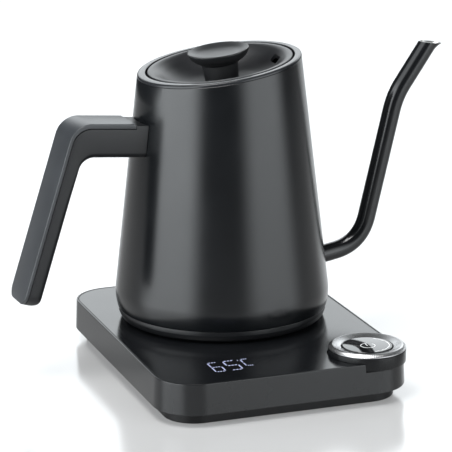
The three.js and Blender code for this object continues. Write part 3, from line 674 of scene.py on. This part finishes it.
def make_shell():
    straight_from = 30  # height where the round foot has become the plain cone
    turn_in = SEAM_HEIGHT + 7
    outer = rounded([
        (61.3, SEAM_HEIGHT), (63.0, SEAM_HEIGHT), (cone_radius(turn_in), turn_in),
        (cone_radius(straight_from), straight_from),
    ], [0, 0.4, 32, 0], 8, closed=False)
    inner = [
        (cone_radius(straight_from) - SHELL_WALL, straight_from), (63.5, SEAM_HEIGHT + 5.4),
        (62, SEAM_HEIGHT + 1.2), (60.4, SEAM_HEIGHT + 1.0), (60.4, SEAM_HEIGHT + 0.4),
    ]
    edge = [(-1.95, 0), (-1.72, 0.2), (-1.72, 0.7), (-1.9, SHELL_WALL)]  # offset and shift for rim_cut
    levels = 10
    columns = []
    for i in range(AROUND):
        angle = TAU * i / AROUND
        outwards = Vector((math.cos(angle), math.sin(angle), 0))
        column = [outwards * radius + Vector((0, 0, z)) for radius, z in outer]
        foot = column[-1]
        head = rim_cut(angle, -1.9)
        column += [foot.lerp(head, k / levels) for k in range(1, levels)]
        column += [rim_cut(angle, offset, shift) for offset, shift in edge]
        column += [outwards * radius + Vector((0, 0, z)) for radius, z in inner]
        columns.append(column)
    points, faces = bridge(list(zip(*columns)))
    attach(make("kettle_body", points, faces, KETTLE, COAT, 35), "kettle", "shell_coat", "kettle_shell")


def make_collar():
    """Its outer edge follows the cone and its inner side is a round sleeve about the rim's slanted axis."""
    edge = [(0, -1.6), (0, -1.15), (0.1, -0.7), (0.32, -0.32), (0.7, -0.08), (1.15, 0)]
    sleeve = 46.2
    bottom = -11.5
    inside = rounded([
        (sleeve, 0), (MOUTH_RADIUS, 0), (MOUTH_RADIUS, bottom), (sleeve, bottom), (sleeve, -1.6),
    ], [0, 0.5, 0.3, 0.3, 0], 4, closed=False)
    to_rim = RIM_LOCAL.inverted()
    columns = []
    for i in range(AROUND):
        on_cone = [to_rim @ rim_cut(TAU * i / AROUND, offset, inset) for inset, offset in edge]
        turn = math.atan2(on_cone[-1].y, on_cone[-1].x)
        column = [(p.x, p.y, offset) for p, (_, offset) in zip(on_cone, edge)]
        column += [(radius * math.cos(turn), radius * math.sin(turn), z) for radius, z in inside]
        columns.append(column)
    points, faces = bridge(list(zip(*columns)))
    attach(make("rim_ring", points, faces, RIM, COLLAR, 35), "kettle", "collar_plastic", "rim_collar")


def make_cup():
    top = SEAM_HEIGHT - GAP
    outline = rounded([
        (24, 0.4), (57.6, 0.4), (61.2, 2.0), (62.4, 5.2), (62.5, top), (60.2, top), (59.6, 5.4), (58, 3.4),
        (56.4, 2.6), (26.2, 2.6), (26.2, 7.2), (14, 7.2), (14, 5.2), (24, 5.2),
    ], [0.3, 2.5, 3, 0.5, 0.15, 0.15, 0.3, 0.3, 0.3, 0.3, 0.3, 0.2, 0.2, 0.3], 4)
    item = lathe("kettle_cup", outline, KETTLE, CUP, 144)
    attach(item, "kettle", "cup_plastic", "base_cup")


# ---- Spout --------------------------------------------------------------------------------
def spout_stations():
    """Centre line in the kettle's X and Z, up to the start of the last straight stretch."""
    root_z = SPOUT_ROOT_Z + SPOUT_SLOPE * (SPOUT_ROOT_X - cone_radius(SPOUT_ROOT_Z))
    root = Vector((SPOUT_ROOT_X, root_z))
    end = SPOUT_UPPER_BEND + SPOUT_RISE
    stations = [root]
    bends = [(root, SPOUT_ELBOW, SPOUT_UPPER_BEND, 17.5, 18), (SPOUT_ELBOW, SPOUT_UPPER_BEND, end, 9, 12)]
    for before, corner, after, run, count in bends:
        start = corner + (before - corner).normalized() * run
        finish = corner + (after - corner).normalized() * run
        for k in range(count + 1):
            t = k / count
            stations.append(start * (1 - t) ** 2 + corner * 2 * t * (1 - t) + finish * t * t)
    return stations


# How far up the last straight stretch the spout is cut, closer together where the beak turns out.
MOUTH_SHARES = (0.12, 0.25, 0.4, 0.55, 0.7, 0.8, 0.85, 0.88, 0.905, 0.925, 0.945, 0.96, 0.975, 0.988, 1)
BEAK_SHARE = 0.84  # where the beak begins
BEAK_REACH = 3.0  # how far it stands out
BEAK_NARROWING = 0.12  # share of the width that the mouth loses at the beak


def spout_wall(stations, radius, around):
    """Loops of one skin of the spout, from its root to its slanted mouth."""
    turns = [TAU * i / around for i in range(around)]
    rows = []
    for k, p in enumerate(stations):
        along = SPOUT_RISE
        if k < len(stations) - 1:
            along = (stations[k + 1] - stations[max(k - 1, 0)]).normalized()
        row = []
        for turn in turns:
            across = Vector((along.y, -along.x)) * radius * math.cos(turn)
            row.append((p.x + across.x, radius * math.sin(turn), p.y + across.y))
        rows.append(row)
    side = Vector((SPOUT_RISE.y, -SPOUT_RISE.x))
    for share in MOUTH_SHARES:
        beak = BEAK_REACH * max(0.0, (share - BEAK_SHARE) / (1 - BEAK_SHARE)) ** 1.7
        row = []
        for turn in turns:
            front = max(0.0, math.cos(turn))
            foot = stations[-1] + side * radius * math.cos(turn)
            climb = MOUTH_Z + MOUTH_LEAN * (foot.x - MOUTH_X) - foot.y
            climb /= SPOUT_RISE.y - MOUTH_LEAN * SPOUT_RISE.x
            flare = beak * front ** 3
            p = foot + SPOUT_RISE * climb * share + Vector((flare, -0.12 * flare))
            width = 1 - BEAK_NARROWING * front * share ** 8
            row.append((p.x, radius * math.sin(turn) * width, p.y))
        rows.append(row)
    return rows


def make_spout():
    around = 40
    stations = spout_stations()
    outside = spout_wall(stations, SPOUT_RADIUS, around)
    inside = spout_wall(stations, SPOUT_BORE, around)
    inside.reverse()
    points, faces = bridge(outside + inside)
    item = make("spout_neck", points, faces, KETTLE, SPOUT_COAT, 40)
    item.data.materials.append(TANK_STEEL)
    bare_from = (len(outside) - 1) * around  # the first face of the mouth's edge
    for face in item.data.polygons:
        if face.index >= bare_from:
            face.material_index = 1
    attach(item, "kettle", "spout_coat", "spout_tube")


# ---- Handle -------------------------------------------------------------------------------
LEG_UPWARDS = Vector((LEG_LEAN, 1)).normalized()
LEG_INWARDS = Vector((LEG_UPWARDS.y, -LEG_UPWARDS.x))
COVER_START = -58.25  # X of the cover's inner end
STEP_X = -57.95  # X of the core's step, where its covered stretch begins
# Heights above the leg's end where it is cut, closer together where it rounds off.
ABOVE_END = [60, 30, 14, 10, 8, 7, 6, 5, 4.5, 4, 3.4, 2.8, 2.2, 1.6, 1.1, 0.8, 0.5, 0.25, 0.1, 0]


def handle_line(depth_on_bar, depth_on_leg, start_x, radius):
    """A line below the handle's outer line as a path from the bar's start to the leg's end."""
    slope = (BEND.y - BAR_START.y) / (BEND.x - BAR_START.x)
    drop = depth_on_bar * math.hypot(1, slope)
    shift = depth_on_leg * math.hypot(1, LEG_LEAN)

    def bar_at(x):
        return BAR_START.y + slope * (x - BAR_START.x) - drop

    corner_x = (BEND.x - LEG_LEAN * BEND.y + shift + LEG_LEAN * bar_at(0)) / (1 - LEG_LEAN * slope)
    end = Vector((BEND.x + LEG_LEAN * (LEG_END_Z - BEND.y), LEG_END_Z)) + LEG_INWARDS * depth_on_leg
    corners = [(start_x, bar_at(start_x)), (corner_x, bar_at(corner_x)), end]
    path = rounded(corners, [0, radius, 0], 20, closed=False)
    return path[:-1] + [end + LEG_UPWARDS * height for height in ABOVE_END]


def quarter(distance, radius):
    """How far a quarter circle has come in at this distance from the end."""
    if distance >= radius:
        return 0
    return radius - math.sqrt(radius ** 2 - (radius - distance) ** 2)


def strip(name, outer, inner, edges, end_radii, material):
    """Bar, bend and leg between two paths: a rounded rectangle carried along them.

    edges are the radii of the outer and inner edges and end_radii those of the leg's end in profile."""
    far_from_end = ABOVE_END[0]
    heights = [far_from_end] * (len(outer) - len(ABOVE_END)) + ABOVE_END
    rows = []
    for a, b, height in zip(outer, inner, heights):
        across = (b - a).normalized()
        half = HANDLE_WIDTH / 2 - quarter(height, LEG_END_RADIUS)
        a = a + across * quarter(height, end_radii[0])
        b = b - across * quarter(height, end_radii[1])
        depth = (b - a).length
        radii = [min(edge, depth * 0.45 if edge < 1 else depth - edges[0] - 0.05) for edge in edges]
        corners = [(-half, 0), (half, 0), (half, depth), (-half, depth)]
        section = rounded(corners, [radii[0], radii[0], radii[1], radii[1]], 5)
        rows.append([(a.x + across.x * q.y, q.x, a.y + across.y * q.y) for q in section])
    points, faces = capped(rows)
    return make(name, points, faces, KETTLE, material, 40)


def cone_tool(grow):
    """The body's cone at the handle's height, thicker all round by grow, for cutting."""
    outline = [(0, 90), (cone_radius(90) + grow, 90), (cone_radius(150) + grow, 150), (0, 150)]
    return lathe("cutter", outline, KETTLE, COAT, 192)


def make_handle():
    seam_radius = BEND_RADIUS - 2
    half_gap = GAP / 2
    outer = handle_line(COVER_ON_BAR + half_gap, COVER_ON_LEG + half_gap, STEP_X, seam_radius)
    inner = handle_line(BAR_THICK, LEG_THICK, STEP_X, INNER_BEND_RADIUS)
    stub = (-40, STEP_X)  # the first stretch, near the bar's full height, which cone_tool then trims
    stub_depth = 0.9
    stub_top = [handle_line(stub_depth, 0, x, seam_radius)[0] for x in stub]
    stub_under = [handle_line(BAR_THICK, 0, x, seam_radius)[0] for x in stub]
    core = strip("handle_body", stub_top + outer, stub_under + inner, (0.3, 3.6), (0.0, 4.5), HANDLE)
    cut(core, cone_tool(GAP), angle=40)
    attach(core, "kettle", "handle_plastic", "handle_core")
    outer = handle_line(0, 0, COVER_START, BEND_RADIUS)
    inner = handle_line(COVER_ON_BAR - half_gap, COVER_ON_LEG - half_gap, COVER_START, seam_radius)
    cover = strip("handle_strip", outer, inner, (0.7, 0.25), (0.7, 0.0), COVER)
    attach(cover, "kettle", "handle_cover_plastic", "handle_cover")


# ---- Lid ----------------------------------------------------------------------------------
def make_lid_pan():
    brim = rounded([(43.2, -7), (43.2, 0), (41.4, 0)], [0, 0.6, 0], 5, closed=False)
    bowl = curve_through([
        (40.6, -0.1), (38.8, -0.9), (36.2, -2.9), (33, -5.9), (29, -8.8), (23.5, -11.4), (17, -12.7),
        (9, -13.2), (2.1, -13.2),
    ], 5)
    under = [
        (2.1, -14.7), (18.5, -14.1), (25.8, -12.4), (31, -9.6), (35, -6.4), (38, -3.7), (41.6, -2),
        (41.6, -7),
    ]
    pan = lathe("lid_dish", brim + bowl + under, RIM, LID, 160)
    near = VENT_RADIUS - VENT_WIDTH / 2
    far = VENT_RADIUS + VENT_WIDTH / 2
    half = VENT_LENGTH / 2
    slot = rounded([(near, -half), (far, -half), (far, half), (near, half)], [0.8] * 4, 5)
    cut(pan, prism_tool(slot, -20, 5, RIM @ Matrix.Rotation(VENT_ANGLE, 4, "Z")))
    attach(pan, "lid", "lid_plastic", "lid_pan")


def make_lid_knob():
    cap = curve_through([(10.9, -0.4), (12.2, 0.6), (14.8, 2.1), (16.9, 4.2), (18.05, 6.3), (18.3, 7.2)], 4)
    dish = curve_through([(17.3, 7.6), (15.6, 7.0), (12.5, 5.8), (8, 5.0), (4, 4.75), (0, 4.7)], 4)
    outline = [(0, -12.9), (9.7, -12.9)] + cap + [(18.2, 7.6), (17.9, 7.75)] + dish
    attach(lathe("lid_grip", outline, RIM, LID_KNOB, 128), "lid", "lid_knob_plastic", "lid_knob")


# ---- Stage, lights and camera -------------------------------------------------------------
FLOOR_RADIUS = 2.0
# The studio's bright walls: middle and half width in degrees of azimuth, fade at the sides, strength.
# Azimuth is 0 in front of the kettle and grows towards the right.
LEFT_WALL = (-80, 31, 11, 5.6)
RIGHT_WALL = (40, 27, 12, 3.4)
BACK_WALL = (150, 32, 11, 2.35)
DARK_ROOM = 0.04  # strength of what lies between the walls
WALL_TINT = (0.93, 0.975, 1, 1)


def floor_material():
    """Pale gloss floor with a little light of its own, so that it runs out to white."""
    material = surface("floor", (0.42, 0.42, 0.42), 0.17, grain=4, bump=0, tone_spread=0.005,
                       rough_spread=0.01)
    shader = material.node_tree.nodes["Principled BSDF"]
    shader.inputs["IOR"].default_value = 1.9
    shader.inputs["Emission Color"].default_value = (1, 1, 1, 1)
    shader.inputs["Emission Strength"].default_value = 0.19
    return material


def make_stage():
    outline = [(x, y, 0) for x, y in circle(0, 0, FLOOR_RADIUS, 96)]
    faces = [tuple(range(len(outline)))]
    make("floor", outline, faces, Matrix.Identity(4), floor_material())


def make_world():
    """White to the camera; otherwise a dark room with soft bright walls at the left, right and back."""
    world = bpy.data.worlds.new("studio")
    world.use_nodes = True
    nodes = world.node_tree.nodes
    links = world.node_tree.links

    def math_node(operation, *values):
        node = nodes.new("ShaderNodeMath")
        node.operation = operation
        for socket, value in zip(node.inputs, values):
            if isinstance(value, (int, float)):
                socket.default_value = value
            else:
                links.new(value, socket)
        return node.outputs["Value"]

    def smooth_step(value, low, high):
        node = nodes.new("ShaderNodeMapRange")
        node.interpolation_type = "SMOOTHSTEP"
        node.inputs["From Min"].default_value = low
        node.inputs["From Max"].default_value = high
        links.new(value, node.inputs["Value"])
        return node.outputs["Result"]

    direction = nodes.new("ShaderNodeSeparateXYZ")
    links.new(nodes.new("ShaderNodeTexCoord").outputs["Generated"], direction.inputs["Vector"])
    x, y, height = direction.outputs
    azimuth = math_node("ARCTAN2", x, math_node("MULTIPLY", y, -1))

    def wall(middle, half, fade, strength):
        away = math_node("SUBTRACT", azimuth, math.radians(middle))
        away = math_node("ABSOLUTE", math_node("WRAP", away, math.pi, -math.pi))
        outside = smooth_step(away, math.radians(half - fade), math.radians(half + fade))
        return math_node("MULTIPLY", math_node("SUBTRACT", 1, outside), strength)

    below_ceiling = math_node("SUBTRACT", 1, smooth_step(height, 0.3, 0.9))
    sides = math_node("MULTIPLY", math_node("ADD", wall(*LEFT_WALL), wall(*RIGHT_WALL)), below_ceiling)
    band = math_node("SUBTRACT", smooth_step(height, 0.06, 0.22), smooth_step(height, 0.46, 0.76))
    back = math_node("MULTIPLY", wall(*BACK_WALL), band)
    total = math_node("ADD", math_node("ADD", sides, back), DARK_ROOM)
    around = nodes.new("ShaderNodeBackground")
    around.inputs["Color"].default_value = WALL_TINT
    links.new(total, around.inputs["Strength"])
    backdrop = nodes["Background"]
    backdrop.inputs["Color"].default_value = (1, 1, 1, 1)
    backdrop.inputs["Strength"].default_value = 1.0
    choice = nodes.new("ShaderNodeMixShader")
    path = nodes.new("ShaderNodeLightPath")
    links.new(path.outputs["Is Camera Ray"], choice.inputs["Fac"])
    links.new(around.outputs["Background"], choice.inputs[1])
    links.new(backdrop.outputs["Background"], choice.inputs[2])
    links.new(choice.outputs["Shader"], nodes["World Output"].inputs["Surface"])
    bpy.context.scene.world = world


def make_light():
    """One large softbox overhead, to the front and left, turned to the kettle's middle."""
    azimuth = math.radians(-60)
    distance = 0.45
    height = 1.4
    middle = Vector((axis_point.x, axis_point.y, 0.09))
    place = middle + Vector((distance * math.sin(azimuth), -distance * math.cos(azimuth), 0))
    place.z = height
    light = bpy.data.lights.new("top_softbox", "AREA")
    light.shape = "SQUARE"
    light.size = 0.7
    light.energy = 18
    item = bpy.data.objects.new("top_softbox", light)
    item.location = place
    item.rotation_euler = (middle - place).to_track_quat("-Z", "Y").to_euler()
    bpy.context.scene.collection.objects.link(item)


def make_camera():
    """The photo's viewpoint: in front, a little to the left and above."""
    azimuth = -0.34
    elevation = 0.2667
    roll = -0.0064
    place = (-0.4742, -1.3037, 0.4641)
    camera = bpy.data.cameras.new("camera")
    camera.lens = 193.486
    camera.sensor_width = 36
    camera.clip_start = 0.05
    level = math.cos(elevation)
    back = Vector((math.sin(azimuth) * level, -math.cos(azimuth) * level, math.sin(elevation)))
    right = (-back).cross(Vector((0, 0, 1))).normalized()
    up = right.cross(-back)
    rolled_right = right * math.cos(roll) + up * math.sin(roll)
    rolled_up = up * math.cos(roll) - right * math.sin(roll)
    turn = Matrix((rolled_right, rolled_up, back)).transposed().to_4x4()
    item = bpy.data.objects.new("camera", camera)
    item.matrix_world = Matrix.Translation(place) @ turn
    bpy.context.scene.collection.objects.link(item)
    bpy.context.scene.camera = item


make_camera()
make_stage()
make_world()
make_light()
make_base_housing()
make_top_panel()
make_tray()
make_feet()
make_connector()
make_gland()
make_display()
make_knob()
make_button()
make_shell()
make_collar()
make_cup()
make_spout()
make_handle()
make_lid_pan()
make_lid_knob()

bpy.context.scene.view_settings.view_transform = "Standard"
